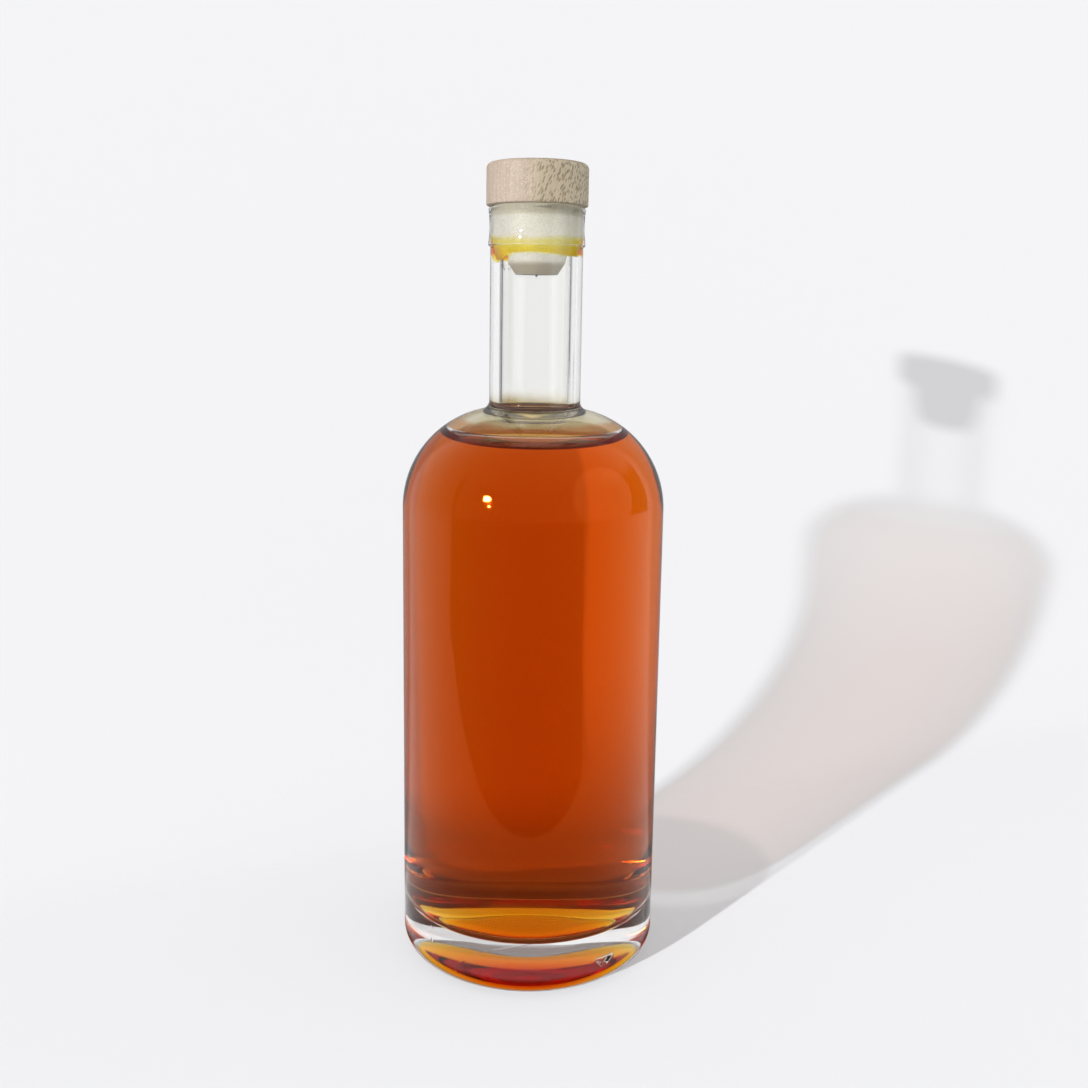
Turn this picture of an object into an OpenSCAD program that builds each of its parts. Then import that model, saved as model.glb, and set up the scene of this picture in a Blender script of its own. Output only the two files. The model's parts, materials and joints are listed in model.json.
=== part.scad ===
// Long-necked round glass bottle with a thick base, its fill and a wood-headed push-in stopper.
// Millimetres. Origin at the centre of the base, on the surface it stands on, with +Z up the bottle's axis.

/* [Bottle body] */
// Outer diameter of the body
body_d = 75; // [70:0.5:80]
// Height at which the straight side ends and the shoulder starts
body_h = 133.8; // [110:0.1:160]
// Glass thickness of the side and shoulder
wall = 3; // [2:0.1:4]
// Outside radius round the heel
heel_r = 7.5; // [4:0.1:9]
// Radius of the domed shoulder in profile
shoulder_r = 28.8; // [26:0.1:31]

/* [Base] */
// Glass under the fill, measured from the surface the bottle stands on
floor_t = 14.2; // [9:0.1:22]
// Radius round the inside of the base
inner_heel_r = 8; // [4:0.1:14]
// Radial width of the flat ring the bottle stands on
bearing_w = 3; // [1.5:0.1:5]
// Depth of the hollow under the base
push_up = 5; // [1:0.1:6]
// Width of the indexing notch pressed into the heel
notch_w = 5.6; // [4:0.1:7]
// Depth of the indexing notch below the side of the glass
notch_depth = 1.2; // [0.8:0.1:1.8]
// Height of the indexing notch above the standing surface
notch_z = 8.4; // [7:0.1:14]
// Direction of the indexing notch round the axis
notch_angle = -54; // [-180:1:180]

/* [Neck] */
// Outer diameter of the neck
neck_d = 25.9; // [24.6:0.1:26.4]
// Diameter of the bore that takes the stopper
bore_d = 19; // [18.5:0.1:20]
// Straight length of the neck, from the shoulder blend to the finish
neck_len = 41.7; // [20:0.1:70]
// Outside blend radius where the neck leaves the shoulder
root_r = 3.7; // [2:0.1:6]
// Inside blend radius where the bore opens into the shoulder
inner_root_r = 1; // [0.5:0.1:5]

/* [Finish] */
// Outer diameter of the finish ring at the mouth
finish_d = 27; // [26.8:0.1:28]
// Height of the finish ring
finish_h = 10.8; // [8:0.1:14]
// Depth of the shallow waist round the finish ring
waist_depth = 0.3; // [0.1:0.05:0.5]
// Rounding of the upper outside edge of the lip
lip_r = 1.1; // [0.6:0.1:1.6]
// Rounding of the lower outside edge of the finish ring
finish_edge_r = 0.4; // [0.2:0.05:0.6]
// Lead-in chamfer at the mouth of the bore
lead_in = 0.6; // [0.3:0.05:1]

/* [Fill] */
// Height of the liquid's surface above the start of the shoulder
fill_rise = 17.2; // [4:0.1:22]

/* [Stopper] */
// Diameter of the wooden head
head_d = 28.3; // [27:0.1:34]
// Height of the wooden head
head_h = 11.4; // [9.5:0.1:20]
// Rounding of the head's upper edge
head_top_r = 1.5; // [0.5:0.1:3]
// Rounding of the head's lower edge
head_low_r = 0.4; // [0.2:0.05:0.8]
// Gap left between the seated head and the lip
seat_gap = 0.1; // [0.05:0.05:0.3]
// Length of the plug below the wooden head
plug_len = 18.5; // [15:0.1:24]
// Radial clearance of the plug in the bore
plug_clear = 0.05; // [0.02:0.01:0.1]
// Length of the narrowing end of the plug
tip_len = 10.1; // [8:0.1:12]
// Radius lost by the long taper of the plug's end
taper_in = 1.45; // [0.8:0.05:1.8]
// Height of the steep bevel at the plug's end
bevel_h = 3.1; // [2:0.1:4]
// Radius lost by the steep bevel
bevel_in = 2.05; // [1.5:0.05:2.8]
// Rounding between the taper and the bevel
bevel_r = 2.5; // [1:0.1:3]
// Length of the moulding nib under the plug
nib_h = 0.7; // [0.4:0.1:1]
// Diameter of the moulding nib where it leaves the plug
nib_d = 0.9; // [0.6:0.1:1.4]
// Diameter of the tenon that joins the plug to the head
tenon_d = 12.4; // [9:0.1:15]
// Length of the tenon inside the head
tenon_len = 6.5; // [4:0.1:7.5]
// Height of each locking rib round the tenon
rib_h = 0.25; // [0.1:0.05:0.3]
// Thickness of the adhesive between the tenon and the head
glue_t = 0.4; // [0.35:0.05:0.8]

/* [Hidden] */
$fn = 160;
body_r = body_d / 2;
bore_r = bore_d / 2;
neck_r = neck_d / 2;
finish_r = finish_d / 2;
stand_r = body_r - heel_r;
blend_z = blend_top(body_r, body_h, shoulder_r, neck_r, root_r);
finish_z = blend_z + neck_len;
lip_z = finish_z + finish_h;
fill_z = body_h + fill_rise;
waist_h = finish_h - 2 * lip_r;
waist_r = (waist_h * waist_h / 4 + waist_depth * waist_depth) / (2 * waist_depth);
dish_r = stand_r - bearing_w;
dish_sphere_r = (dish_r * dish_r + push_up * push_up) / (2 * push_up);
seat_z = lip_z + seat_gap;
head_r = head_d / 2;
plug_r = bore_r - plug_clear;
tip_z = seat_z - plug_len;
tenon_r = tenon_d / 2;
recess_r = tenon_r + glue_t;
recess_h = tenon_len + glue_t;
rib_pitch = tenon_len / 4;

// Height at which a blend of radius b, between a shoulder arc and a neck, runs out into the neck
function blend_top(r, h, s, n, b) = h + sqrt(pow(s + b, 2) - pow(n + b - (r - s), 2));

// Point where that blend touches the shoulder arc
function blend_foot(r, h, s, n, b) =
    [r - s, h] + s / (s + b) * [n + b - (r - s), blend_top(r, h, s, n, b) - h];

// Half profile of a vessel: flat bottom, rounded heel, straight side, domed shoulder, blend and neck
module vessel(r, bottom, heel, h, s, n, b, top) {
    zb = blend_top(r, h, s, n, b);
    foot = blend_foot(r, h, s, n, b);
    translate([0, bottom])
        square([r - heel, heel]);
    intersection() {
        translate([r - heel, bottom + heel])
            circle(heel);
        translate([r - heel, bottom])
            square([heel, heel]);
    }
    translate([0, bottom + heel])
        square([r, h - bottom - heel]);
    intersection() {
        translate([r - s, h])
            circle(s);
        translate([0, h])
            square([r, s]);
    }
    difference() {
        polygon([[0, h], [foot.x, h], foot, [n + b, zb], [0, zb]]);
        translate([n + b, zb])
            circle(b);
    }
    translate([0, zb])
        square([n, top - zb]);
}

// Half profile of a disc with its two outer edges rounded
module round_edged(r, h, low, high) {
    square([r - max(low, high), h]);
    translate([0, low])
        square([r, h - low - high]);
    translate([r - low, low])
        circle(low);
    translate([r - high, h - high])
        circle(high);
    translate([0, h - high])
        square([r - high, high]);
    square([r - low, low]);
}

module finish_ring() {
    translate([0, finish_z])
        difference() {
            round_edged(finish_r, finish_h, finish_edge_r, lip_r);
            translate([finish_r - waist_depth + waist_r, finish_h / 2])
                circle(waist_r);
        }
}

// Inside of the bottle: the fill and the air above it
module cavity(top) {
    vessel(body_r - wall, floor_t, inner_heel_r, body_h, shoulder_r - wall, bore_r, inner_root_r, top);
}

module index_notch() {
    rotate([0, 0, notch_angle])
        translate([body_r - notch_depth, 0, notch_z])
            rotate([0, 90, 0])
                cylinder(h = notch_depth + 1, d = notch_w, $fn = 3);
}

module glass_bottle() {
    color([0.86, 0.90, 0.88, 0.4])
        difference() {
            rotate_extrude()
                difference() {
                    union() {
                        vessel(body_r, 0, heel_r, body_h, shoulder_r, neck_r, root_r, lip_z - lip_r);
                        finish_ring();
                    }
                    cavity(lip_z + 1);
                    polygon([[0, lip_z - lead_in], [bore_r, lip_z - lead_in], [bore_r + lead_in + 1, lip_z + 1], [0, lip_z + 1]]);
                    translate([0, push_up - dish_sphere_r])
                        circle(dish_sphere_r);
                }
            index_notch();
        }
}

module aftershave_fill() {
    color([0.78, 0.32, 0.03, 0.9])
        rotate_extrude()
            intersection() {
                cavity(lip_z);
                square([body_r, fill_z]);
            }
}

module wooden_stopper_head() {
    color([0.80, 0.72, 0.62])
        rotate_extrude()
            difference() {
                translate([0, seat_z])
                    round_edged(head_r, head_h, head_low_r, head_top_r);
                translate([0, seat_z - 1])
                    square([recess_r, recess_h + 1]);
            }
}

// Rounded corner between the two slopes of the plug's end, going down
function slope_angle(dr, dz) = atan2(dr, dz);
taper_a = slope_angle(taper_in, tip_len - bevel_h);
bevel_a = slope_angle(bevel_in, bevel_h);
corner = [plug_r - taper_in, tip_z + bevel_h];
corner_cut = bevel_r * tan((bevel_a - taper_a) / 2);
corner_c = corner + corner_cut * [sin(taper_a), cos(taper_a)] - bevel_r * [cos(taper_a), -sin(taper_a)];
corner_steps = 8;
tip_arc = [for (i = [0:corner_steps])
    let (a = taper_a + (bevel_a - taper_a) * i / corner_steps)
    corner_c + bevel_r * [cos(a), -sin(a)]];

// Barbs round the tenon, from its end downwards: a slope up to the rib and a square step under it
barbs = [for (i = [3:-1:1])
    let (z = seat_z + i * rib_pitch)
    each [[tenon_r, z + rib_pitch / 2], [tenon_r + rib_h, z], [tenon_r, z]]];

// Half profile of the plug, from the nib up the axis and down the outside
module plug_profile() {
    polygon(concat(
        [[0, tip_z - nib_h], [0, seat_z + tenon_len], [tenon_r, seat_z + tenon_len]],
        barbs,
        [[tenon_r, seat_z], [plug_r, seat_z], [plug_r, tip_z + tip_len]],
        tip_arc,
        [[plug_r - taper_in - bevel_in, tip_z], [nib_d / 2, tip_z], [nib_d / 6, tip_z - nib_h]]));
}

module stopper_adhesive() {
    color([0.88, 0.84, 0.72, 0.7])
        rotate_extrude()
            difference() {
                translate([0, seat_z])
                    square([recess_r, recess_h]);
                plug_profile();
            }
}

module stopper_plug() {
    color([0.93, 0.91, 0.85])
        rotate_extrude()
            plug_profile();
}

glass_bottle();
aftershave_fill();
wooden_stopper_head();
stopper_adhesive();
stopper_plug();
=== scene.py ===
import bpy
import bmesh
import json
import math
from mathutils import Matrix, Vector

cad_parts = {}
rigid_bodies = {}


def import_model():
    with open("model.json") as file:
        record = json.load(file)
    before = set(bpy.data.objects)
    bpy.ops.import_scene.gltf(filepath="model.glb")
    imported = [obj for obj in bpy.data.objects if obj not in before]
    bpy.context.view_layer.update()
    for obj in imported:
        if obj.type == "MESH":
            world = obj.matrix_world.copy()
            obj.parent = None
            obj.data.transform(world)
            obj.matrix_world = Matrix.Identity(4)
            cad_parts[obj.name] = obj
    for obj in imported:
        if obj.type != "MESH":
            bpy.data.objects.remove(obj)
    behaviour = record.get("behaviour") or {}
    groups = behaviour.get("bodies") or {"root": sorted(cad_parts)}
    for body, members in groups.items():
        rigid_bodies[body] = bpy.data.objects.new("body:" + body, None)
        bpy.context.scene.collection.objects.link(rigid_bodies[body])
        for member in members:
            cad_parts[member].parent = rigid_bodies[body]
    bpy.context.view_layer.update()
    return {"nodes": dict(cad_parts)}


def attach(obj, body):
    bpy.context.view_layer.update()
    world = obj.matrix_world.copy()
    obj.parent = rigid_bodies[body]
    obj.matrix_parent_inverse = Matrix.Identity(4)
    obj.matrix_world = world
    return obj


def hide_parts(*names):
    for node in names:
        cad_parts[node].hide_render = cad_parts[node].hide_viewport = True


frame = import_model()
nodes = frame["nodes"]
mm = 0.001  # shapes are in millimetres, places in materials are in metres
mergeGap = 1e-7
print("bottle frame loaded:", sorted(nodes))


# a profile is drawn like a pen line in the XZ plane, then spun round Z
def startProfile(x, z):
    mesh = bmesh.new()
    return mesh, mesh.verts.new((x * mm, 0, z * mm))


def lineTo(mesh, tip, x, z, parts):
    start, end = tip.co.copy(), Vector((x * mm, 0, z * mm))
    for i in range(parts):
        tip = bmesh.ops.extrude_vert_indiv(mesh, verts=[tip])["verts"][0]
        tip.co = start.lerp(end, (i + 1) / parts)
    return tip


def lastVert(made):
    return next(g for g in made["geom_last"] if isinstance(g, bmesh.types.BMVert))


def arcTo(mesh, tip, x, z, degrees, parts):
    # counterclockwise degrees about the point x, z
    return lastVert(bmesh.ops.spin(
        mesh, geom=[tip], cent=(x * mm, 0, z * mm), axis=(0, 1, 0), angle=-math.radians(degrees),
        steps=parts, use_merge=False, use_duplicate=False))


def spinProfile(mesh, steps, closeLoop=False):
    if closeLoop:
        bmesh.ops.remove_doubles(mesh, verts=mesh.verts[:], dist=mergeGap)
    bmesh.ops.spin(mesh, geom=mesh.verts[:] + mesh.edges[:], cent=(0, 0, 0), axis=(0, 0, 1),
                   angle=2 * math.pi, steps=steps, use_merge=True, use_duplicate=False)
    bmesh.ops.remove_doubles(mesh, verts=mesh.verts[:], dist=mergeGap)
    bmesh.ops.recalc_face_normals(mesh, faces=mesh.faces[:])
    if mesh.calc_volume(signed=True) < 0:
        bmesh.ops.reverse_faces(mesh, faces=mesh.faces[:])


def finishPiece(mesh, name, materials, sharp):
    # every piece made here belongs to the bottle; edges sharper than the angle stay crisp
    for face in mesh.faces:
        face.smooth = True
    for edge in mesh.edges:
        edge.smooth = edge.calc_face_angle(0) < math.radians(sharp)
    data = bpy.data.meshes.new(name)
    mesh.to_mesh(data)
    mesh.free()
    for material in materials:
        data.materials.append(material)
    piece = bpy.data.objects.new(name, data)
    bpy.context.scene.collection.objects.link(piece)
    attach(piece, "bottle")
    return piece


def castNoShadow(piece):
    # the glass round it carries the tint of its shadow
    piece.visible_shadow = False
    piece.visible_diffuse = False


# short ways to add nodes; each value is a number, a colour or another node's socket
def newMaterial(name, values=None):
    material = bpy.data.materials.new(name)
    material.use_nodes = True
    tree = material.node_tree
    shader = tree.nodes["Principled BSDF"]
    for key, value in (values or {}).items():
        shader.inputs[key].default_value = value
    return material, tree, shader, tree.nodes["Material Output"]


def newGroup(name, inputs, outputs):
    group = bpy.data.node_groups.new(name, "ShaderNodeTree")
    for socket, kind in inputs.items():
        group.interface.new_socket(name=socket, in_out="INPUT", socket_type=kind)
    for socket in outputs:
        group.interface.new_socket(name=socket, in_out="OUTPUT", socket_type="NodeSocketFloat")
    return group, group.nodes.new("NodeGroupInput"), group.nodes.new("NodeGroupOutput")


def addNode(tree, kind, inputs=None, **settings):
    node = tree.nodes.new(kind)
    for key, value in settings.items():
        setattr(node, key, value)
    for key, value in (inputs or {}).items():
        if isinstance(value, bpy.types.NodeSocket):
            tree.links.new(value, node.inputs[key])
        else:
            node.inputs[key].default_value = value
    return node


def mathNode(tree, operation, a, b=0.0, c=0.0):
    return addNode(tree, "ShaderNodeMath", {0: a, 1: b, 2: c}, operation=operation).outputs[0]


def times(tree, a, b):
    return mathNode(tree, "MULTIPLY", a, b)


def oneMinus(tree, value):
    return mathNode(tree, "SUBTRACT", 1.0, value)


def largest(tree, a, b):
    return mathNode(tree, "MAXIMUM", a, b)


def mapRange(tree, value, start, end, low=0.0, high=1.0, kind="SMOOTHSTEP"):
    return addNode(tree, "ShaderNodeMapRange", {
        "Value": value, "From Min": start, "From Max": end, "To Min": low, "To Max": high},
        interpolation_type=kind).outputs[0]


def vectorNode(tree, operation, a, b=(0, 0, 0)):
    return addNode(tree, "ShaderNodeVectorMath", {0: a, 1: b}, operation=operation).outputs


def axisOf(tree, vector, axis):
    return addNode(tree, "ShaderNodeSeparateXYZ", {0: vector}).outputs[axis]


def mapped(tree, vector, scale=(1, 1, 1), rotation=(0, 0, 0), location=(0, 0, 0)):
    return addNode(tree, "ShaderNodeMapping", {
        "Vector": vector, "Scale": scale, "Rotation": rotation, "Location": location}).outputs[0]


def noise(tree, vector, scale, detail, roughness=0.5):
    return addNode(tree, "ShaderNodeTexNoise", {
        "Vector": vector, "Scale": scale, "Detail": detail, "Roughness": roughness}).outputs["Fac"]


def cells(tree, vector):
    node = addNode(tree, "ShaderNodeTexVoronoi", {"Vector": vector, "Scale": 1.0})
    return node.outputs["Distance"]


def mixColor(tree, factor, a, b, blend="MIX"):
    return addNode(tree, "ShaderNodeMix", {0: factor, 6: a, 7: b},
                   data_type="RGBA", blend_type=blend).outputs[2]


def tinted(tree, color, tint):
    return mixColor(tree, 1.0, color, tint, "MULTIPLY")


def greyOf(tree, value):
    return addNode(tree, "ShaderNodeCombineColor", {0: value, 1: value, 2: value}).outputs[0]


def rampNode(tree, factor, stops):
    node = addNode(tree, "ShaderNodeValToRGB", {"Fac": factor})
    for element, (place, color) in zip(node.color_ramp.elements, stops):
        element.position = place
        element.color = color
    return node.outputs["Color"]


def mixShader(tree, factor, a, b):
    return addNode(tree, "ShaderNodeMixShader", {0: factor, 1: a, 2: b}).outputs[0]


def objectCoords(tree):
    return addNode(tree, "ShaderNodeTexCoord").outputs["Object"]


def addBump(tree, shader, height, strength, distance):
    bump = addNode(tree, "ShaderNodeBump", {
        "Height": height, "Strength": strength, "Distance": distance})
    tree.links.new(bump.outputs[0], shader.inputs["Normal"])


# finishes of the glass; each shadow has the tint that lamps give in its middle and at its edge
glassLook = {
    "ior": 1.52, "roughness": 0.0, "tint": (0.982, 0.983, 0.965, 1),
    "wave": 0.16, "waveScale": (38, 38, 26),  # height in mm, waves per metre
    "seam": 0.012, "seamTurn": 46.0, "seamWidth": 0.0004,  # height in mm, degrees round the axis
    "amberMirror": (1.0, 0.26, 0.02, 1),  # mirror image in the glass that stands before the fill
    "dryShadow": ((0.97, 0.97, 0.965, 1), (0.70, 0.70, 0.70, 1)),
    "baseShadow": ((0.52, 0.485, 0.475, 1), (0.42, 0.395, 0.385, 1)),
    "wetShadow": ((0.80, 0.66, 0.60, 1), (0.66, 0.60, 0.56, 1)), "shadowEdge": 0.35}
# liquid that has run down inside the shoulder and drained: colours, and the heights they reach
stain = {
    "amber": (0.36, 0.10, 0.01, 1), "gold": (0.46, 0.35, 0.12, 1), "thin": (0.74, 0.66, 0.42, 1),
    "dry": (0.97, 0.96, 0.90, 1), "amberTo": 0.1562, "amberFade": 0.0012,
    "goldTo": 0.1630, "goldFade": 0.004, "ragged": 0.004,
    "patchScale": 55.0, "patches": (0.40, 0.62), "mirrored": 0.9}
liquidLook = {"ior": 1.36, "absorb": (0.9705, 0.785, 0.02, 1), "density": 190.0,
              "mirror": (0.80, 0.47, 0.16, 1)}
filmLook = {"absorb": (0.99, 0.905, 0.0, 1), "density": 2900.0}


def letLampsThrough(tree, surface, output, shadow):
    # lamps and sky light what is inside; the shadow is lighter in the middle than at the edges
    weight = addNode(tree, "ShaderNodeLayerWeight", {"Blend": glassLook["shadowEdge"]})
    tint = mixColor(tree, weight.outputs["Facing"], *shadow)
    clear = addNode(tree, "ShaderNodeBsdfTransparent", {"Color": tint})
    path = addNode(tree, "ShaderNodeLightPath")
    soft = largest(tree, path.outputs["Is Shadow Ray"], path.outputs["Is Diffuse Ray"])
    tree.links.new(mixShader(tree, soft, surface, clear.outputs[0]), output.inputs["Surface"])


def bottleWaves():
    # node group: slow moulding waves of the glass, and the two halves' seam as a fine raised line
    sockets = {"Vector": "NodeSocketVector", "Wave": "NodeSocketFloat", "Seam": "NodeSocketFloat"}
    group, into, out = newGroup("bottleWaves", sockets, ["Height"])
    vector = into.outputs["Vector"]
    slow = noise(group, mapped(group, vector, scale=glassLook["waveScale"]), 1.0, 1.0)
    waves = times(group, slow, into.outputs["Wave"])
    turned = mapped(group, vector, rotation=(0, 0, math.radians(glassLook["seamTurn"])))
    fromSeam = mathNode(group, "ABSOLUTE", axisOf(group, turned, "X"))
    line = mapRange(group, fromSeam, 0.0, glassLook["seamWidth"], 1.0, 0.0)
    both = mathNode(group, "ADD", waves, times(group, line, into.outputs["Seam"]))
    group.links.new(both, out.inputs["Height"])
    return group


wavesGroup = bottleWaves()


def drainedFilm(tree):
    # amber by the level, patchy olive gold above, clear where it has dried
    coords = objectCoords(tree)
    ragged = noise(tree, coords, stain["patchScale"], 3.0)
    height = mathNode(tree, "MULTIPLY_ADD", mathNode(tree, "SUBTRACT", ragged, 0.5),
                      stain["ragged"], axisOf(tree, coords, "Z"))
    upper = mixColor(tree, mapRange(tree, ragged, *stain["patches"]), stain["gold"], stain["thin"])
    drying = mapRange(tree, height, stain["goldTo"], stain["goldTo"] + stain["goldFade"])
    upper = mixColor(tree, drying, upper, stain["dry"])
    low = mapRange(tree, height, stain["amberTo"], stain["amberTo"] + stain["amberFade"], 1.0, 0.0)
    return mixColor(tree, low, upper, stain["amber"])


def makeGlass(name, ior, shadow, wave=0.0, seam=0.0, stained=False, mirror=(1, 1, 1, 1)):
    material, tree, shader, output = newMaterial(name, {
        "Base Color": glassLook["tint"], "Transmission Weight": 1.0, "IOR": ior,
        "Roughness": glassLook["roughness"], "Specular Tint": mirror})
    waves = addNode(tree, "ShaderNodeGroup", {
        "Vector": objectCoords(tree), "Wave": wave, "Seam": seam}, node_tree=wavesGroup)
    addBump(tree, shader, waves.outputs[0], 1.0, mm)
    surface = shader.outputs[0]
    if stained:
        drained = drainedFilm(tree)
        tree.links.new(drained, shader.inputs["Base Color"])
        # light that turns back at the wetted inside crosses half as much film, so it is tinted too
        once = addNode(tree, "ShaderNodeGamma", {"Color": drained, "Gamma": 0.5})
        filmed = addNode(tree, "ShaderNodeBsdfGlass", {
            "Color": once.outputs[0], "Roughness": glassLook["roughness"], "IOR": ior})
        surface = mixShader(tree, stain["mirrored"], surface, filmed.outputs[0])
    letLampsThrough(tree, surface, output, shadow)
    return material


def makeLiquid(name, ior, look=None):
    material, tree, shader, output = newMaterial(name, {
        "Base Color": (1, 1, 1, 1), "Transmission Weight": 1.0, "Roughness": 0.0, "IOR": ior,
        "Specular Tint": liquidLook["mirror"]})
    if look:
        depth = addNode(tree, "ShaderNodeVolumeAbsorption", {
            "Color": look["absorb"], "Density": look["density"]})
        tree.links.new(depth.outputs[0], output.inputs["Volume"])
    return material


glassIor = glassLook["ior"]
wetIor = glassIor / liquidLook["ior"]  # where liquid touches the glass
outerGlass = {"wave": glassLook["wave"], "seam": glassLook["seam"]}
stainedGlass = makeGlass("stainedShoulderGlass", glassIor, glassLook["dryShadow"], stained=True)
dryGlass = makeGlass("clearBottleGlass", glassIor, glassLook["dryShadow"], **outerGlass)
wetGlass = makeGlass("wettedBottleGlass", wetIor, glassLook["wetShadow"])
frontGlass = makeGlass("glassBeforeFill", glassIor, glassLook["dryShadow"],
                       mirror=glassLook["amberMirror"], **outerGlass)
baseGlass = makeGlass("thickBaseGlass", glassIor, glassLook["baseShadow"], seam=glassLook["seam"])
plugGlass = makeGlass("glassRoundPlug", wetIor, (glassLook["dryShadow"][0],) * 2)
# the wetted glass bends light into the liquid, so the liquid only colours it; its level is a sheet
liquidDepth = makeLiquid("aftershaveDepth", 1.0, liquidLook)
liquidSurface = makeLiquid("aftershaveSurface", liquidLook["ior"])
filmDepth = makeLiquid("trappedFilm", 1.0, filmLook)
dropLiquid = makeLiquid("boreDroplets", liquidLook["ior"])
print("glass and liquid mixed")

# the bottle, from the hollow under it, up the outside, over the lip and down the inside
bottle = {
    "bodyR": 37.5, "bodyTop": 133.8, "heelR": 7.5, "pushUp": 5.0, "standIn": 27.0, "dishFlat": 9.0,
    "shoulderR": 28.8, "neckR": 12.95, "rootR": 2.4, "neckLength": 42.73,
    "finishR": 13.5, "finishH": 10.8, "waist": 0.3, "lipR": 1.1, "edgeR": 0.4, "leadIn": 0.6,
    "wall": 3.0, "floor": 14.2, "innerHeelR": 8.0, "innerShoulderR": 25.8, "innerShoulderZ": 133.8,
    "boreR": 9.5, "innerRootR": 1.0, "fineBoreTo": 201.0, "steps": 288}
fill = {"level": 151.0, "meniscusR": 2.2, "skin": 0.03, "lift": 0.015, "steps": 192}
film = {
    "top": 209.9, "low": 204.6, "outR": 9.495, "drawnT": 0.02, "fade": 1.6,
    "steps": 192, "rows": 10,
    "runs": [(196, 0.33, 2.2), (-25, 0.5, 0.35)],  # direction in degrees, width in radians, depth
    "lowWaves": [(0.18, 3, 0.6)],  # height, number round the neck and phase
    "topWaves": [(0.55, 2, 2.5), (0.25, 5, 0.0)],
    "plugGap": 0.005, "leastT": 0.004, "thinnest": 0.1, "hollow": 0.55, "freeEdge": 1e-4}
notch = {"turn": -54.0, "z": 8.5, "halfWidth": 2.8, "halfHeight": 1.3, "depth": 0.9, "fromR": 33.5,
         "sideRun": 0.7, "topRun": 0.5}
# surfaces halfway through the glass, which tell inside from outside, and where finishes change
zones = {"lip": 217.4, "neckR": 11.2, "domeTop": 160.0, "domeIn": 1.2, "floorIn": 0.5,
         "wallIn": 1.5, "boreIn": 0.1, "stainTo": 169.0,
         "frontFromR": 20.0, "frontRise": 6.5, "baseRise": 1.5}

outerX = bottle["bodyR"] - bottle["shoulderR"]
innerX = bottle["bodyR"] - bottle["wall"] - bottle["innerShoulderR"]


def blendAngle(arcX, arcRadius, neck, blend):
    return math.degrees(math.acos((neck + blend - arcX) / (arcRadius + blend)))


def meniscusPlace():
    # centre of the small arc that meets the wall above and the level surface below
    rise = fill["level"] - bottle["innerShoulderZ"] + fill["meniscusR"]
    run = math.sqrt((bottle["innerShoulderR"] - fill["meniscusR"]) ** 2 - rise ** 2)
    return innerX + run, bottle["innerShoulderZ"] + rise, math.degrees(math.atan2(rise, run))


meniscusX, meniscusZ, contactAngle = meniscusPlace()
contactZ = (bottle["innerShoulderZ"]
            + bottle["innerShoulderR"] * math.sin(math.radians(contactAngle)))


def waved(z, waves, turn):
    for height, count, phase in waves:
        z += height * math.sin(count * turn + phase)
    return z


def filmLow(turn):
    # lower edge of the liquid caught round the plug, by direction round the neck
    low = film["low"]
    for direction, width, depth in film["runs"]:
        apart = math.remainder(turn - math.radians(direction), 2 * math.pi)
        low -= depth * math.exp(-(apart / width) ** 2)
    return waved(low, film["lowWaves"], turn)


def filmTop(turn):
    return waved(film["top"], film["topWaves"], turn)


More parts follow.
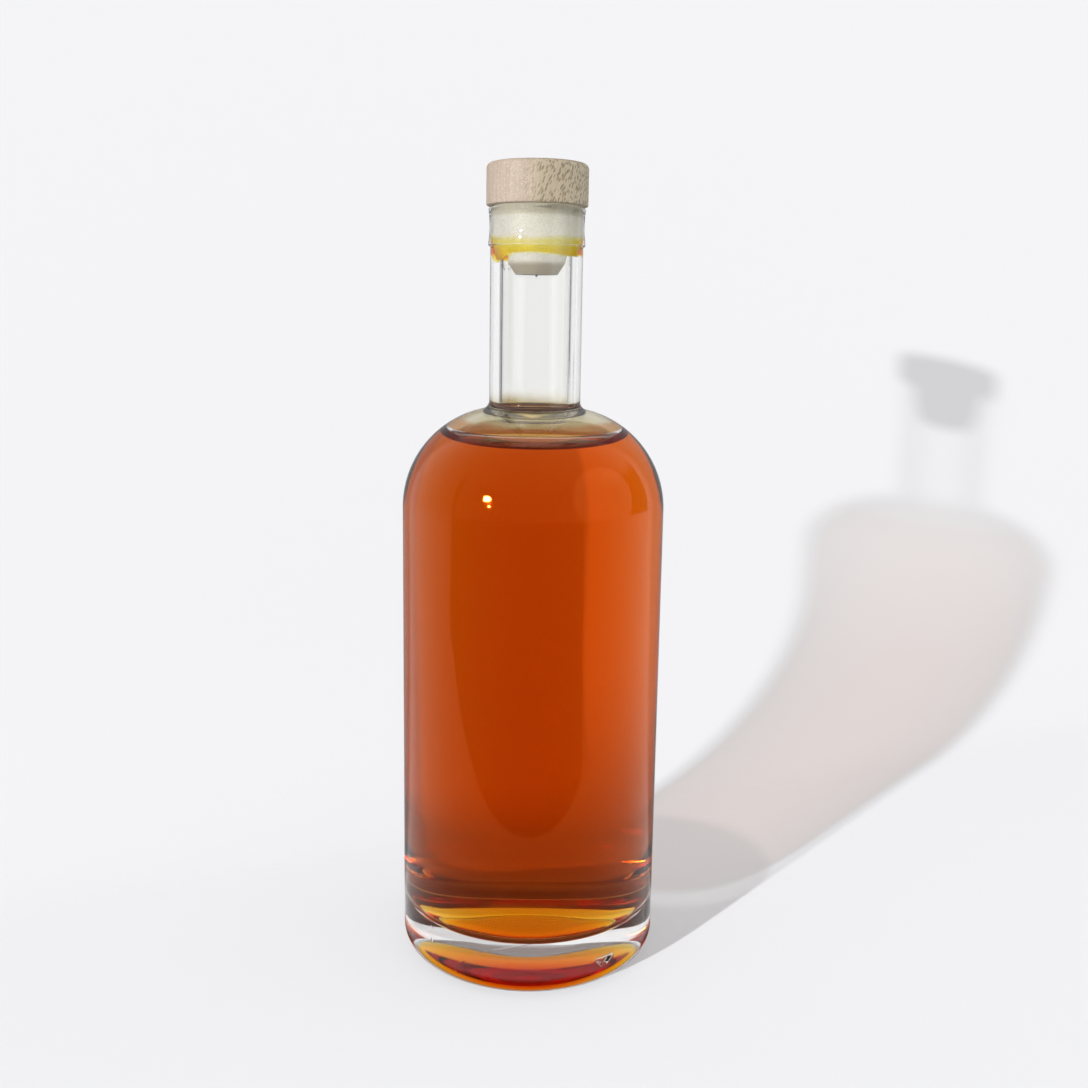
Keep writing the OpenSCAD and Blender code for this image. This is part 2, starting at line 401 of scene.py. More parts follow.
def drawBottle():
    # the last number of each line and arc is how many parts it has
    b = bottle
    dishRun = b["standIn"] - b["dishFlat"]
    dishR = (dishRun ** 2 + b["pushUp"] ** 2) / (2 * b["pushUp"])
    dishAngle = math.degrees(math.asin(dishRun / dishR))
    heelX, edgeX = b["bodyR"] - b["heelR"], b["finishR"] - b["edgeR"]
    outerAngle = blendAngle(outerX, b["shoulderR"], b["neckR"], b["rootR"])
    outerTop = b["bodyTop"] + (b["shoulderR"] + b["rootR"]) * math.sin(math.radians(outerAngle))
    innerAngle = blendAngle(innerX, b["innerShoulderR"], b["boreR"], b["innerRootR"])
    innerTop = (b["innerShoulderZ"]
                + (b["innerShoulderR"] + b["innerRootR"]) * math.sin(math.radians(innerAngle)))
    finishZ = outerTop + b["neckLength"]
    lipZ = finishZ + b["finishH"]
    waistH = b["finishH"] - 2 * b["lipR"]
    waistR = (waistH ** 2 / 4 + b["waist"] ** 2) / (2 * b["waist"])
    waistX = b["finishR"] - b["waist"] + waistR
    waistAngle = math.degrees(math.asin(waistH / 2 / waistR))
    wallX = b["bodyR"] - b["wall"]
    innerHeelX, innerHeelZ = wallX - b["innerHeelR"], b["floor"] + b["innerHeelR"]

    mesh, tip = startProfile(0, b["pushUp"])
    tip = lineTo(mesh, tip, b["dishFlat"], b["pushUp"], 3)
    tip = arcTo(mesh, tip, b["dishFlat"], b["pushUp"] - dishR, -dishAngle, 16)
    tip = lineTo(mesh, tip, heelX, 0, 3)
    tip = arcTo(mesh, tip, heelX, b["heelR"], 90, 28)
    tip = lineTo(mesh, tip, b["bodyR"], b["floor"], 16)
    tip = lineTo(mesh, tip, b["bodyR"], b["bodyTop"], 12)
    tip = arcTo(mesh, tip, outerX, b["bodyTop"], outerAngle, 48)
    tip = arcTo(mesh, tip, b["neckR"] + b["rootR"], outerTop, -outerAngle, 16)
    tip = lineTo(mesh, tip, b["neckR"], finishZ, 6)
    tip = lineTo(mesh, tip, edgeX, finishZ, 1)
    tip = arcTo(mesh, tip, edgeX, finishZ + b["edgeR"], 90, 6)
    tip = lineTo(mesh, tip, b["finishR"], finishZ + b["lipR"], 2)
    tip = arcTo(mesh, tip, waistX, finishZ + b["finishH"] / 2, -2 * waistAngle, 16)
    tip = arcTo(mesh, tip, b["finishR"] - b["lipR"], lipZ - b["lipR"], 90, 10)
    tip = lineTo(mesh, tip, b["boreR"] + b["leadIn"], lipZ, 3)
    tip = lineTo(mesh, tip, b["boreR"], lipZ - b["leadIn"], 2)
    tip = lineTo(mesh, tip, b["boreR"], b["fineBoreTo"], 50)
    tip = lineTo(mesh, tip, b["boreR"], innerTop, 6)
    tip = arcTo(mesh, tip, b["boreR"] + b["innerRootR"], innerTop, innerAngle, 14)
    tip = arcTo(mesh, tip, innerX, b["innerShoulderZ"], contactAngle - innerAngle, 16)
    tip = arcTo(mesh, tip, innerX, b["innerShoulderZ"], -contactAngle, 32)
    tip = lineTo(mesh, tip, wallX, innerHeelZ, 12)
    tip = arcTo(mesh, tip, innerHeelX, innerHeelZ, -90, 18)
    lineTo(mesh, tip, 0, b["floor"], 6)
    spinProfile(mesh, b["steps"])
    return mesh


def pressNotch(mesh):
    # small three-sided indexing notch pressed into the heel, with soft edges
    turn = math.radians(notch["turn"])
    side = Vector((-math.sin(turn), math.cos(turn), 0))
    out = Vector((math.cos(turn), math.sin(turn), 0))
    for vert in mesh.verts:
        if vert.co.dot(out) < notch["fromR"] * mm:
            continue
        across = abs(vert.co.dot(side)) / mm
        up = vert.co.z / mm - notch["z"]
        edge = notch["halfWidth"] * (up + notch["halfHeight"]) / (2 * notch["halfHeight"])
        pressed = min((edge - across) / notch["sideRun"] + 0.5,
                      (notch["halfHeight"] - up) / notch["topRun"] + 0.5, 1.0)
        if pressed > 0:
            vert.co -= out * notch["depth"] * mm * pressed


def isInside(x, z):
    # whether a face at this radius and height is on the inside of the glass
    if z > zones["lip"]:
        return False
    if z > bottle["innerShoulderZ"]:
        fromArc = math.hypot(x - innerX, z - bottle["innerShoulderZ"])
        inDome = z < zones["domeTop"] and fromArc < bottle["innerShoulderR"] + zones["domeIn"]
        return x < zones["neckR"] or inDome
    return z > bottle["floor"] - zones["floorIn"] and x < bottle["bodyR"] - zones["wallIn"]


def glassAt(centre):
    # which glass a face gets, from the liquid or air that it touches
    x, z, turn = math.hypot(centre.x, centre.y), centre.z, math.atan2(centre.y, centre.x)
    if isInside(x, z):
        if z < contactZ:
            return wetGlass
        if z > filmLow(turn) and x < bottle["boreR"] + zones["boreIn"]:
            return plugGlass
        return stainedGlass if z < zones["stainTo"] else dryGlass
    if z < bottle["floor"] + zones["baseRise"]:
        return baseGlass
    if x > zones["frontFromR"] and z < fill["level"] + zones["frontRise"]:
        return frontGlass
    return dryGlass


glassMesh = drawBottle()
pressNotch(glassMesh)
glassKinds = [dryGlass, wetGlass, stainedGlass, frontGlass, baseGlass, plugGlass]
for face in glassMesh.faces:
    face.material_index = glassKinds.index(glassAt(face.calc_center_median() / mm))
glassPiece = finishPiece(glassMesh, "bottle_glass", glassKinds, 50)
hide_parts("glass_bottle")
print("bottle spun:", len(glassPiece.data.polygons), "faces")


# the fill, a hair smaller than the inside of the glass, and its free surface
def drawFill():
    b, skin = bottle, fill["skin"]
    wallX = b["bodyR"] - b["wall"] - skin
    heelX = b["bodyR"] - b["wall"] - b["innerHeelR"]
    contact = math.radians(contactAngle)
    mesh, tip = startProfile(0, b["floor"] + skin)
    tip = lineTo(mesh, tip, heelX, b["floor"] + skin, 10)
    tip = arcTo(mesh, tip, heelX, b["floor"] + b["innerHeelR"], 90, 18)
    tip = lineTo(mesh, tip, wallX, b["innerShoulderZ"], 40)
    tip = arcTo(mesh, tip, innerX, b["innerShoulderZ"], contactAngle, 36)
    tip.co = Vector((meniscusX + fill["meniscusR"] * math.cos(contact), 0,
                     meniscusZ + fill["meniscusR"] * math.sin(contact))) * mm
    tip = arcTo(mesh, tip, meniscusX, meniscusZ, -90 - contactAngle, 22)
    lineTo(mesh, tip, 0, fill["level"], 16)
    spinProfile(mesh, fill["steps"])
    return mesh


def drawSurface():
    # level in the middle, curled up where it wets the shoulder
    lift = fill["lift"]
    mesh, tip = startProfile(0, fill["level"] + lift)
    tip = lineTo(mesh, tip, meniscusX, fill["level"] + lift, 16)
    arcTo(mesh, tip, meniscusX, meniscusZ + lift, 90 + contactAngle, 22)
    spinProfile(mesh, fill["steps"])
    if sum(face.normal.z * face.calc_area() for face in mesh.faces) < 0:
        bmesh.ops.reverse_faces(mesh, faces=mesh.faces[:])
    return mesh


fillPiece = finishPiece(drawFill(), "aftershave_liquid", [liquidDepth], 40)
levelPiece = finishPiece(drawSurface(), "aftershave_meniscus", [liquidSurface], 60)
castNoShadow(fillPiece)
castNoShadow(levelPiece)
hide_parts("aftershave_fill")
print("fill poured to", fill["level"], "mm")

# liquid caught between the plug and the bore; the plug narrows below taperTop
taper = {"plugR": 9.45, "taperTop": 209.51, "taperFoot": 202.51, "taperIn": 1.45}


def plugRadius(z):
    share = (taper["taperTop"] - z) / (taper["taperTop"] - taper["taperFoot"])
    return taper["plugR"] - taper["taperIn"] * min(max(share, 0), 1)


def drawFilm():
    # a thin straight ring that shapeFilm then fits between plug and glass
    outR, thickness, rows = film["outR"], film["drawnT"], film["rows"]
    mesh, tip = startProfile(outR, film["low"])
    tip = lineTo(mesh, tip, outR, film["top"], rows)
    tip = lineTo(mesh, tip, outR - thickness, film["top"], 1)
    tip = lineTo(mesh, tip, outR - thickness, film["low"], rows)
    lineTo(mesh, tip, outR, film["low"], 5)
    spinProfile(mesh, film["steps"], closeLoop=True)
    return mesh


def shapeFilm(mesh):
    outR = film["outR"]
    for vert in mesh.verts:
        turn = math.atan2(vert.co.y, vert.co.x)
        share = (vert.co.z / mm - film["low"]) / (film["top"] - film["low"])
        across = (outR - vert.co.xy.length / mm) / film["drawnT"]
        z = filmLow(turn) + share * (filmTop(turn) - filmLow(turn))
        inner = min(plugRadius(z) + film["plugGap"], outR - film["leastT"])
        # it thins out to almost nothing at its upper edge
        thin = min(max((filmTop(turn) - z) / film["fade"], film["thinnest"]), 1)
        inner = outR - (outR - inner) * thin
        radius = outR + (inner - outR) * across
        if share < film["freeEdge"]:  # the lower edge is hollow between plug and glass
            z += film["hollow"] * math.sin(math.pi * min(max(across, 0), 1)) * (outR - inner)
        vert.co = Vector((radius * math.cos(turn), radius * math.sin(turn), z)) * mm


filmMesh = drawFilm()
shapeFilm(filmMesh)
castNoShadow(finishPiece(filmMesh, "trapped_film", [filmDepth], 40))
print("film round the plug drawn")

# droplets on the bore under the plug: direction in degrees, height and radius
droplets = {"flat": 0.34, "wide": 0.9, "tall": 1.1, "sunk": 0.02,
            "places": [(205, 201.6, 0.75), (201, 202.9, 0.4), (214, 200.6, 0.3),
                       (-18, 203.3, 0.55), (-30, 202.1, 0.3), (150, 201.0, 0.4)]}


def drawDroplets():
    mesh = bmesh.new()
    for direction, z, radius in droplets["places"]:
        turn = math.radians(direction)
        away = bottle["boreR"] - droplets["sunk"] - radius * droplets["flat"]
        place = Vector((math.cos(turn), math.sin(turn), 0)) * away * mm + Vector((0, 0, z * mm))
        squash = Matrix.Diagonal((droplets["flat"], droplets["wide"], droplets["tall"], 1))
        bmesh.ops.create_icosphere(
            mesh, subdivisions=3, radius=radius * mm,
            matrix=Matrix.Translation(place) @ Matrix.Rotation(turn, 4, "Z") @ squash)
    return mesh


castNoShadow(finishPiece(drawDroplets(), "bore_droplets", [dropLiquid], 180))
print("droplets:", len(droplets["places"]))

# the stopper keeps its CAD meshes; heights and widths here are in metres
wood = {
    "pale": (0.635, 0.515, 0.41, 1), "warm": (0.56, 0.44, 0.34, 1), "olive": (0.53, 0.44, 0.31, 1),
    "outer": (0.62, 0.545, 0.41, 1), "dash": (0.17, 0.125, 0.08, 1), "fleckAndSheen": (0.88, 0.77, 0.68, 1),
    "roughness": 0.62, "slant": 24.0, "dashScale": (1900, 1900, 560), "dashEdge": (0.22, 0.57),
    "fleckScale": (900, 1200, 2100), "fleckPlace": (3, 1, 7), "fleckEdge": (0.10, 0.34),
    "fibreScale": (1500, 1500, 90), "fibreEdge": (0.35, 0.65), "fibreLight": (0.90, 1.08),
    "bandScale": (240, 240, 30), "ragged": 0.006,
    "turnsOlive": (-0.004, 0.002),  # where the colour changes, from left to right
    "turnsPale": (0.0085, 0.0125), "palest": 0.8,
    # the pale flecks are ray flecks and partly painted sheen, so most of them lie on the lit left
    "dashes": (0.10, 0.62), "flecks": (0.6, -0.5),  # share on the left, and what the right adds
    "relief": (0.5, 0.0002)}
# three of the plug's colours are painted shade: under the head, on the turned-in end and on the
# moulding nib
plug = {
    "cream": (0.80, 0.77, 0.68, 1), "dark": (0.68, 0.645, 0.55, 1), "shade": (0.76, 0.74, 0.66, 1),
    "under": (0.56, 0.50, 0.42, 1), "nib": (0.12, 0.11, 0.09, 1), "nibTo": 0.1993,
    "underEdge": (0.2014, 0.2032), "shadeEdge": (0.2148, 0.2158), "roughness": 0.6,
    "speckScale": 2400.0, "speckShare": 0.7, "cloudScale": 260.0, "cloudShare": 0.3,
    "darkTo": 0.38, "creamFrom": 0.56, "soft": 0.35, "softReach": (0.0015, 0.0012, 0.0008),
    "relief": (0.25, 0.0001)}
glue = {"dull": (0.62, 0.54, 0.38, 1), "clear": (0.80, 0.73, 0.56, 1), "dullTo": 0.3,
        "clearFrom": 0.7, "cloudScale": 900.0, "roughness": 0.35}


def grainGroup():
    # node group: long fibres, short vessel dashes and ray flecks that run up the head
    group, into, out = newGroup("beechGrain", {"Vector": "NodeSocketVector"},
                                ["Dashes", "Flecks", "Fibres"])
    vector = into.outputs["Vector"]
    slanted = mapped(group, vector, rotation=(0, math.radians(-wood["slant"]), 0))
    vessels = cells(group, mapped(group, slanted, scale=wood["dashScale"]))
    rays = cells(group, mapped(group, vector, scale=wood["fleckScale"],
                               location=wood["fleckPlace"]))
    fibres = noise(group, mapped(group, vector, scale=wood["fibreScale"]), 1.0, 4.0, 0.6)
    group.links.new(mapRange(group, vessels, *wood["dashEdge"], 1.0, 0.0), out.inputs["Dashes"])
    group.links.new(mapRange(group, rays, *wood["fleckEdge"], 1.0, 0.0), out.inputs["Flecks"])
    group.links.new(fibres, out.inputs["Fibres"])
    return group


def beechMaterial():
    material, tree, shader, output = newMaterial("sandedBeech", {"Roughness": wood["roughness"]})
    coords = objectCoords(tree)
    grain = addNode(tree, "ShaderNodeGroup", {"Vector": coords}, node_tree=grainGroup()).outputs
    bands = noise(tree, mapped(tree, coords, scale=wood["bandScale"]), 1.0, 3.0)
    fibre = mapRange(tree, grain["Fibres"], *wood["fibreEdge"], *wood["fibreLight"], "LINEAR")
    lit = greyOf(tree, fibre)
    base = tinted(tree, mixColor(tree, bands, wood["pale"], wood["warm"]), lit)
    # pale on the left, olive with dark dashes to the right, paler again at the far right
    across = mathNode(tree, "MULTIPLY_ADD", mathNode(tree, "SUBTRACT", bands, 0.5),
                      wood["ragged"], axisOf(tree, coords, "X"))
    rightSide = mapRange(tree, across, *wood["turnsOlive"])
    farRight = mapRange(tree, across, *wood["turnsPale"], 0.0, wood["palest"])
    olive = tinted(tree, mixColor(tree, farRight, wood["olive"], wood["outer"]), lit)
    base = mixColor(tree, rightSide, base, olive)
    left, more = wood["dashes"]
    dashes = times(tree, grain["Dashes"], mathNode(tree, "MULTIPLY_ADD", rightSide, more, left))
    base = mixColor(tree, dashes, base, wood["dash"])
    # pale ray flecks with painted sheen, mostly on the lit left
    left, more = wood["flecks"]
    flecks = times(tree, grain["Flecks"], mathNode(tree, "MULTIPLY_ADD", rightSide, more, left))
    base = mixColor(tree, flecks, base, wood["fleckAndSheen"])
    tree.links.new(base, shader.inputs["Base Color"])
    height = mathNode(tree, "SUBTRACT", grain["Fibres"], dashes)
    addBump(tree, shader, height, *wood["relief"])
    return material


def plugMaterial():
    material, tree, shader, output = newMaterial("creamPlug", {
        "Roughness": plug["roughness"], "Subsurface Weight": plug["soft"],
        "Subsurface Radius": plug["softReach"]})
    coords = objectCoords(tree)
    speck = noise(tree, coords, plug["speckScale"], 2.0, 0.7)
    cloud = noise(tree, coords, plug["cloudScale"], 2.0)
    both = mathNode(tree, "MULTIPLY_ADD", speck, plug["speckShare"],
                    times(tree, cloud, plug["cloudShare"]))
    color = rampNode(tree, both, [(plug["darkTo"], plug["dark"]),
                                  (plug["creamFrom"], plug["cream"])])
    # painted shade: darker just under the head, on the turned-in end and on the moulding nib
    height = axisOf(tree, coords, "Z")
    shaded = mapRange(tree, height, *plug["shadeEdge"])
    color = mixColor(tree, shaded, color, tinted(tree, color, plug["shade"]))
    turned = mapRange(tree, height, *plug["underEdge"], 1.0, 0.0)
    color = mixColor(tree, turned, color, tinted(tree, color, plug["under"]))
    onNib = mathNode(tree, "LESS_THAN", height, plug["nibTo"])
    tree.links.new(mixColor(tree, onNib, color, plug["nib"]), shader.inputs["Base Color"])
    addBump(tree, shader, speck, *plug["relief"])
    return material


def glueMaterial():
    material, tree, shader, output = newMaterial("setAdhesive", {"Roughness": glue["roughness"]})
    cloud = noise(tree, objectCoords(tree), glue["cloudScale"], 3.0)
    color = rampNode(tree, cloud, [(glue["dullTo"], glue["dull"]),
                                   (glue["clearFrom"], glue["clear"])])
    tree.links.new(color, shader.inputs["Base Color"])
    return material


def dress(nodeName, material):
    piece = nodes[nodeName]
    piece.data.materials.clear()
    piece.data.materials.append(material)


dress("wooden_stopper_head", beechMaterial())
dress("stopper_plug", plugMaterial())
dress("stopper_adhesive", glueMaterial())
print("stopper finished")

# the studio: a pale sweep, two suns of one direction for things and for paper, a glint and a fill
studio = {
    "backdrop": (0.896, 0.896, 0.913, 1), "darkRoom": (0.012, 0.010, 0.009, 1),
    "sunTravel": (0.6117, 0.7690, -0.1857), "sunStrength": 2.0, "sunAngle": 1.3, "floorSun": 10.0,
    "glintTravel": (0.6304, 0.7118, -0.3098), "glintStrength": 9.0, "glintAngle": 5.5,
    "fillTravel": (-0.85, 0.35, -0.25), "fillStrength": 0.7, "fillAngle": 60,
    "fillColor": (0.98, 1.0, 0.90), "skyOnThings": 0.55}
# the sweep's own brightness: how much of it the sun gives, on the floor and up the wall
paper = {
    "floorShare": 0.42, "wallShare": 0.29, "wallEdge": (0.01, 0.09), "leastFacing": 0.15,
    "skySeen": 0.79, "sunTint": (1, 1, 1.02, 1), "bounce": (0.75, 0.75, 0.75, 1),
    "underBase": (0.50, 0.13, 0.04, 1), "underEdge": (0.040, 0.047)}
# what glass shows of paper and room: each pair is where a change starts and ends, in metres on the
# paper and as a part of a unit vector for directions
seenInGlass = {
    "secondBend": 1.5,  # ray depths above this are past the first mirror image
    "behindMirrored": 0.38, "behindEdge": (0.50, 0.62),  # paper behind, in the first mirror image
    "paperEnd": -0.147, "roomX": (-0.95, 0.69),  # dark room in front of the paper
    "wallEdge": (-0.16, 0.02), "aboveEdge": (0.68, 0.82),
    "ceiling": 0.9, "ceilingEdge": (0.35, 0.55),
    "sideDark": 0.12, "sideEdge": (0.45, 0.65), "frontBright": 0.7, "frontEdge": (-0.45, -0.1),
    "nearBright": (0.16, 0.30), "farAbove": 0.02, "dimAbove": (0.09, 0.14),
    "columnDim": 0.26, "columnEdge": (-0.0165, -0.0135),  # right part of the liquid
    "columnTop": (0.10, 0.13), "columnFrom": (0.07, 0.11),
    "floorDim": 0.52, "floorShade": (0.09, 0.16),  # floor close behind the bottle
    "floorTop": (0.0, 0.07), "floorFromY": 0.03}
sweep = {"wallPoint": (0.198, 0.249), "wallAlong": (0.91, 0.415), "bendR": 0.07, "wide": 4.0,
         "deep": 2.0, "tall": 1.2, "steps": 24}


def flattened(tree, vector):
    return vectorNode(tree, "MULTIPLY", vector, (1, 1, 0))[0]


def bentTwice(tree, path):
    return mathNode(tree, "GREATER_THAN", path.outputs["Ray Depth"], seenInGlass["secondBend"])


def sideGroup():
    # node group: bright paper stops at the sides, so glass that bends light far is darker there
    group, into, out = newGroup("paperSides", {"Vector": "NodeSocketVector"}, ["Bright"])
    flat = flattened(group, into.outputs["Vector"])
    back = axisOf(group, vectorNode(group, "NORMALIZE", flat)[0], "Y")
    behind = mapRange(group, back, *seenInGlass["sideEdge"], seenInGlass["sideDark"], 1.0)
    front = mapRange(group, back, *seenInGlass["frontEdge"], seenInGlass["frontBright"], 0.0)
    group.links.new(largest(group, behind, front), out.inputs["Bright"])
    return group


paperSides = sideGroup()


def paperShown(tree, geometry, path, spread):
    # the sun gives a set share of the brightness and the rest glows, so shadows keep their depth
    backdrop = studio["backdrop"][0]
    toSun = tuple(-v for v in studio["sunTravel"])
    facing = vectorNode(tree, "DOT_PRODUCT", geometry.outputs["Normal"], toSun)["Value"]
    facing = largest(tree, facing, paper["leastFacing"])
    rise = axisOf(tree, geometry.outputs["Position"], "Z")
    fromSun = mapRange(tree, rise, *paper["wallEdge"],
                       paper["floorShare"] * backdrop, paper["wallShare"] * backdrop)
    share = mathNode(tree, "DIVIDE", times(tree, fromSun, math.pi / studio["floorSun"]), facing)
    lit = mathNode(tree, "MULTIPLY_ADD", share, studio["skyOnThings"] * paper["skySeen"], fromSun)
    rest = largest(tree, oneMinus(tree, mathNode(tree, "DIVIDE", lit, backdrop)), 0.0)
    white = tinted(tree, greyOf(tree, share), paper["sunTint"])
    # amber light under the base, which only the glass shows
    under = mapRange(tree, spread, *paper["underEdge"], 1.0, 0.0)
    under = times(tree, under, oneMinus(tree, path.outputs["Is Camera Ray"]))
    white = mixColor(tree, under, white, tinted(tree, white, paper["underBase"]))
    catcher = addNode(tree, "ShaderNodeBsdfDiffuse", {"Color": white})
    glow = addNode(tree, "ShaderNodeEmission", {
        "Color": studio["backdrop"], "Strength": times(tree, rest, oneMinus(tree, under))})
    shown = addNode(tree, "ShaderNodeAddShader", {0: catcher.outputs[0], 1: glow.outputs[0]})
    return shown.outputs[0], white


def roomMirrored(tree, position, path):
    # where the first mirror image shows the dark room before the paper, or dimmed paper behind
    direction = vectorNode(tree, "NORMALIZE", flattened(tree, position))[0]
    sideways, backward = axisOf(tree, direction, "X"), axisOf(tree, direction, "Y")
    roomFrom, roomTo = seenInGlass["roomX"]
    beyond = mathNode(tree, "LESS_THAN", axisOf(tree, position, "Y"), seenInGlass["paperEnd"])
    beyond = times(tree, beyond, mathNode(tree, "LESS_THAN", sideways, roomTo))
    beyond = times(tree, beyond, mathNode(tree, "GREATER_THAN", sideways, roomFrom))
    dimmed = mapRange(tree, backward, *seenInGlass["behindEdge"],
                      0.0, 1.0 - seenInGlass["behindMirrored"])
    once = mathNode(tree, "LESS_THAN", path.outputs["Ray Depth"], seenInGlass["secondBend"])
    first = times(tree, once, path.outputs["Is Glossy Ray"])
    return times(tree, largest(tree, beyond, dimmed), first)


def shadeThroughGlass(tree, position, path, spread):
    deep = bentTwice(tree, path)
    x, y, z = (axisOf(tree, position, axis) for axis in "XYZ")
    # the sides: dark away from the bottle and high up
    bright = addNode(tree, "ShaderNodeGroup", {"Vector": position}, node_tree=paperSides)
    shade = times(tree, oneMinus(tree, bright.outputs[0]), deep)
    far = largest(tree, mapRange(tree, spread, *seenInGlass["nearBright"]),
                  mathNode(tree, "GREATER_THAN", z, seenInGlass["farAbove"]))
    shade = times(tree, shade, far)
    shade = times(tree, shade, mapRange(tree, z, *seenInGlass["dimAbove"]))
    # the right part of the liquid: a little darker below
    rightward = mapRange(tree, x, *seenInGlass["columnEdge"], 0.0, seenInGlass["columnDim"])
    low = times(tree, mapRange(tree, z, *seenInGlass["columnTop"], 1.0, 0.0),
                mapRange(tree, spread, *seenInGlass["columnFrom"]))
    shade = largest(tree, shade, times(tree, times(tree, rightward, low), deep))
    # the floor just behind the bottle lies in its own shade when seen through the liquid
    close = mapRange(tree, spread, *seenInGlass["floorShade"],
                     seenInGlass["floorDim"], 0.0, "LINEAR")
    close = times(tree, close, mapRange(tree, z, *seenInGlass["floorTop"], 1.0, 0.0))
    close = times(tree, close, mathNode(tree, "GREATER_THAN", y, seenInGlass["floorFromY"]))
    return largest(tree, shade, times(tree, close, deep))


def backdropMaterial():
    material, tree, shader, output = newMaterial("paleSweep")
    tree.nodes.remove(shader)
    geometry = addNode(tree, "ShaderNodeNewGeometry")
    position = geometry.outputs["Position"]
    path = addNode(tree, "ShaderNodeLightPath")
    spread = vectorNode(tree, "LENGTH", flattened(tree, position))["Value"]
    shown, white = paperShown(tree, geometry, path, spread)
    dark = addNode(tree, "ShaderNodeEmission", {"Color": studio["darkRoom"], "Strength": 1.0})
    shown = mixShader(tree, roomMirrored(tree, position, path), shown, dark.outputs[0])
    shade = shadeThroughGlass(tree, position, path, spread)
    shown = mixShader(tree, shade, shown, dark.outputs[0])
    bounce = addNode(tree, "ShaderNodeBsdfDiffuse", {"Color": tinted(tree, white, paper["bounce"])})
    bent = largest(tree, path.outputs["Is Glossy Ray"], path.outputs["Is Transmission Ray"])
    seen = largest(tree, path.outputs["Is Camera Ray"], bent)
    front = mixShader(tree, seen, bounce.outputs[0], shown)
    # from behind, the wall lets the view through
    clear = addNode(tree, "ShaderNodeBsdfTransparent")
    oneSided = mixShader(tree, geometry.outputs["Backfacing"], front, clear.outputs[0])
    tree.links.new(oneSided, output.inputs["Surface"])
    return material


def drawSweep():
    # floor, then a soft bend up into a wall behind and to the right
    bendR = sweep["bendR"]
    mesh = bmesh.new()
    start = mesh.verts.new((0, -sweep["deep"], 0))
    foot = bmesh.ops.extrude_vert_indiv(mesh, verts=[start])["verts"][0]
    foot.co = (0, -bendR, 0)
    last = lastVert(bmesh.ops.spin(
        mesh, geom=[foot], cent=(0, -bendR, bendR), axis=(1, 0, 0), angle=math.radians(90),
        steps=sweep["steps"], use_merge=False, use_duplicate=False))
    top = bmesh.ops.extrude_vert_indiv(mesh, verts=[last])["verts"][0]
    top.co = last.co + Vector((0, 0, sweep["tall"]))
    made = bmesh.ops.extrude_edge_only(mesh, edges=mesh.edges[:])["geom"]
    bmesh.ops.translate(mesh, vec=(sweep["wide"], 0, 0),
                        verts=[g for g in made if isinstance(g, bmesh.types.BMVert)])
    bmesh.ops.translate(mesh, vec=(-sweep["wide"] / 2, 0, 0), verts=mesh.verts[:])
    along = Vector((*sweep["wallAlong"], 0)).normalized()
    into = Vector((-along.y, along.x, 0))
    turn = Matrix((along, into, Vector((0, 0, 1)))).transposed().to_4x4()
    place = Matrix.Translation(Vector((*sweep["wallPoint"], 0)))
    bmesh.ops.transform(mesh, matrix=place @ turn, verts=mesh.verts[:])
    bmesh.ops.recalc_face_normals(mesh, faces=mesh.faces[:])
    if sum(face.normal.z for face in mesh.faces) < 0:
        bmesh.ops.reverse_faces(mesh, faces=mesh.faces[:])
    for face in mesh.faces:
        face.smooth = True
    data = bpy.data.meshes.new("sweep")
    mesh.to_mesh(data)
    mesh.free()
    data.materials.append(backdropMaterial())
    piece = bpy.data.objects.new("sweep", data)
    bpy.context.scene.collection.objects.link(piece)


drawSweep()
print("sweep laid")


def addSun(name, travel, strength, angle, litThings, color=(1, 1, 1)):
    sun = bpy.data.lights.new(name, "SUN")
    sun.energy = strength
    sun.angle = math.radians(angle)
    sun.color = color
    lamp = bpy.data.objects.new(name, sun)
    lamp.rotation_mode = "QUATERNION"
    lamp.rotation_quaternion = Vector(travel).to_track_quat("-Z", "Y")
    bpy.context.scene.collection.objects.link(lamp)
    lamp.light_linking.receiver_collection = litThings


def lightThings():
    s = studio
    things = bpy.data.collections.new("litThings")
    onlyPaper = bpy.data.collections.new("litPaper")
    onlyGlass = bpy.data.collections.new("glassOnly")
    for thing in bpy.context.scene.objects:
        if thing.type == "MESH":
            (onlyPaper if thing.name == "sweep" else things).objects.link(thing)
    onlyGlass.objects.link(glassPiece)
    addSun("windowSun", s["sunTravel"], s["sunStrength"], s["sunAngle"], things)
    addSun("windowSunOnPaper", s["sunTravel"], s["floorSun"], s["sunAngle"], onlyPaper)
    addSun("glintLamp", s["glintTravel"], s["glintStrength"], s["glintAngle"], onlyGlass)
    addSun("fillFromRight", s["fillTravel"], s["fillStrength"], s["fillAngle"], things,
           s["fillColor"])


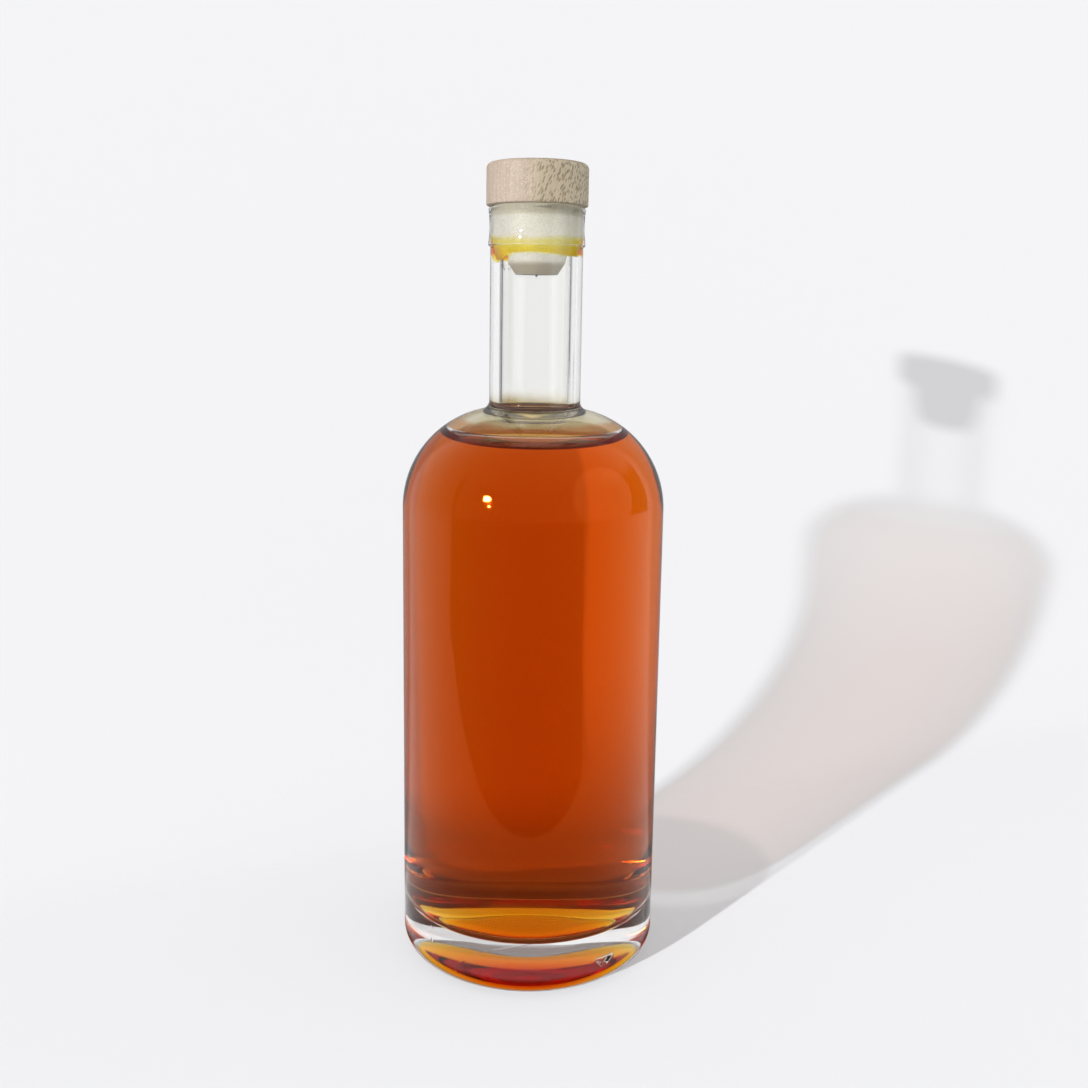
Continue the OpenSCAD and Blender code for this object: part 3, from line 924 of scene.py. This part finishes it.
def roomWorld():
    world = bpy.data.worlds.new("studioRoom")
    world.use_nodes = True
    tree = world.node_tree
    tree.nodes.clear()
    direction = addNode(tree, "ShaderNodeTexCoord").outputs["Generated"]
    y, z = axisOf(tree, direction, "Y"), axisOf(tree, direction, "Z")
    path = addNode(tree, "ShaderNodeLightPath")
    # the first mirror image shows paper behind, a dark room in front and a ceiling above
    straight = mapRange(tree, y, *seenInGlass["behindEdge"], 1.0, seenInGlass["behindMirrored"])
    behind = times(tree, mapRange(tree, y, *seenInGlass["wallEdge"]), straight)
    above = mapRange(tree, z, *seenInGlass["aboveEdge"])
    # light that glass has bent more often shows the paper's sides and a softer ceiling
    bright = addNode(tree, "ShaderNodeGroup", {"Vector": direction}, node_tree=paperSides)
    ceiling = mapRange(tree, z, *seenInGlass["ceilingEdge"], 0.0, seenInGlass["ceiling"])
    seen = addNode(tree, "ShaderNodeMix", {
        0: bentTwice(tree, path), 2: largest(tree, behind, above),
        3: largest(tree, bright.outputs[0], ceiling)}, data_type="FLOAT")
    shown = mixColor(tree, seen.outputs[0], studio["darkRoom"], studio["backdrop"])
    lighting = addNode(tree, "ShaderNodeBackground", {
        "Color": (1, 1, 1, 1), "Strength": studio["skyOnThings"]})
    inGlass = addNode(tree, "ShaderNodeBackground", {"Color": shown, "Strength": 1.0})
    plain = addNode(tree, "ShaderNodeBackground", {"Color": studio["backdrop"], "Strength": 1.0})
    bent = largest(tree, path.outputs["Is Glossy Ray"], path.outputs["Is Transmission Ray"])
    first = mixShader(tree, bent, lighting.outputs[0], inGlass.outputs[0])
    both = mixShader(tree, path.outputs["Is Camera Ray"], first, plain.outputs[0])
    output = addNode(tree, "ShaderNodeOutputWorld")
    tree.links.new(both, output.inputs["Surface"])
    return world


def setRender(scene):
    # bounces enough for light to cross glass, liquid and glass again, without focused flecks
    scene.view_settings.view_transform = "Standard"
    scene.cycles.max_bounces = 28
    scene.cycles.transmission_bounces = 28
    scene.cycles.transparent_max_bounces = 24
    scene.cycles.glossy_bounces = 10
    scene.cycles.caustics_reflective = False
    scene.cycles.caustics_refractive = False


lightThings()
bpy.context.scene.world = roomWorld()
setRender(bpy.context.scene)
print("room lit")

# camera: place in mm, angles in degrees, lens and sensor as a camera has them
cameraSet = {"place": (3.28, -352.908, 186.222), "pitch": -10.17, "roll": 0.88, "lens": 40.80,
             "sensor": 36.0, "clipStart": 0.01}


def placeCamera():
    lens = bpy.data.cameras.new("viewCamera")
    lens.lens = cameraSet["lens"]
    lens.sensor_width = cameraSet["sensor"]
    lens.clip_start = cameraSet["clipStart"]
    viewer = bpy.data.objects.new("viewCamera", lens)
    viewer.matrix_world = (Matrix.Translation(Vector(cameraSet["place"]) * mm)
                           @ Matrix.Rotation(math.radians(90 + cameraSet["pitch"]), 4, "X")
                           @ Matrix.Rotation(math.radians(cameraSet["roll"]), 4, "Z"))
    bpy.context.scene.collection.objects.link(viewer)
    bpy.context.scene.camera = viewer


placeCamera()
print("camera set")
